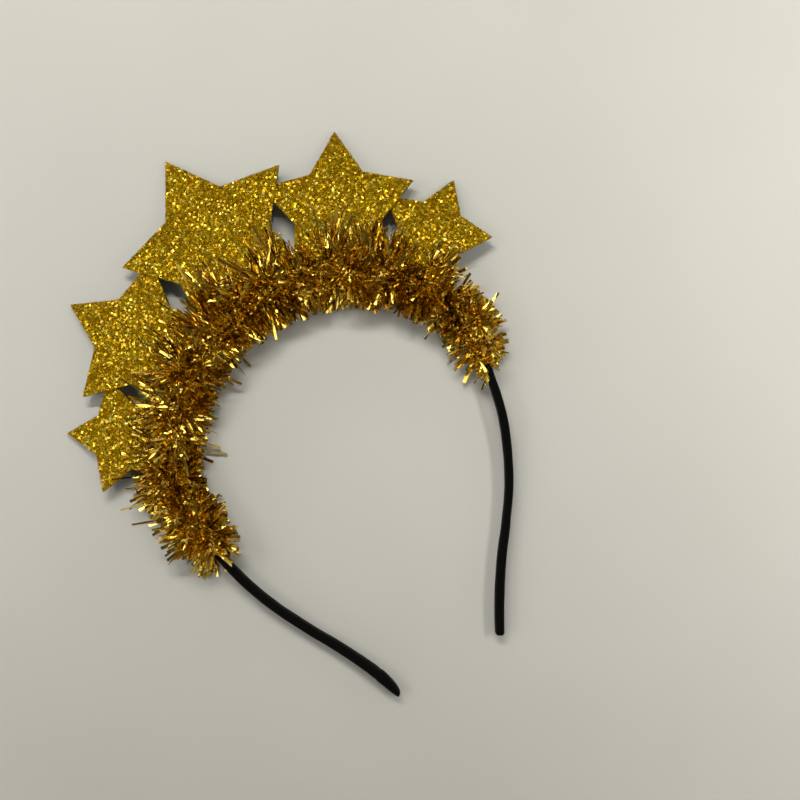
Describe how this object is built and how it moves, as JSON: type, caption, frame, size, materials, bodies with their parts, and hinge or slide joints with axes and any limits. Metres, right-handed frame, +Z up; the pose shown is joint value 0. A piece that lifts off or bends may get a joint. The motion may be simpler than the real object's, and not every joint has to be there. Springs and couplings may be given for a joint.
{
  "type": "star tinsel headband",
  "caption": "Slim fabric-wrapped headband with a row of fused glitter stars standing off its crown and a gold foil tinsel garland wound along the crown, for wearing on the head.",
  "frame": {"origin": "on the surface that the headband lies on, under the middle of its whole outline", "axes": "+X from the left leg to the right leg with the stars' glitter side up, +Y from the leg tips to the crown and the large star, +Z up from the surface"},
  "size_m": [0.17, 0.2134, 0.0246],
  "materials": {
    "black_fabric": "matte woven wrap over a springy plastic core",
    "gold_glitter": "coarse gold glitter on thin foam sheet",
    "gold_foil": "metallised plastic film cut into narrow strips"
  },
  "bodies": {
    "root": {"band": "black_fabric", "star_strip": "gold_glitter", "tinsel": "gold_foil"}
  },
  "joints": []
}
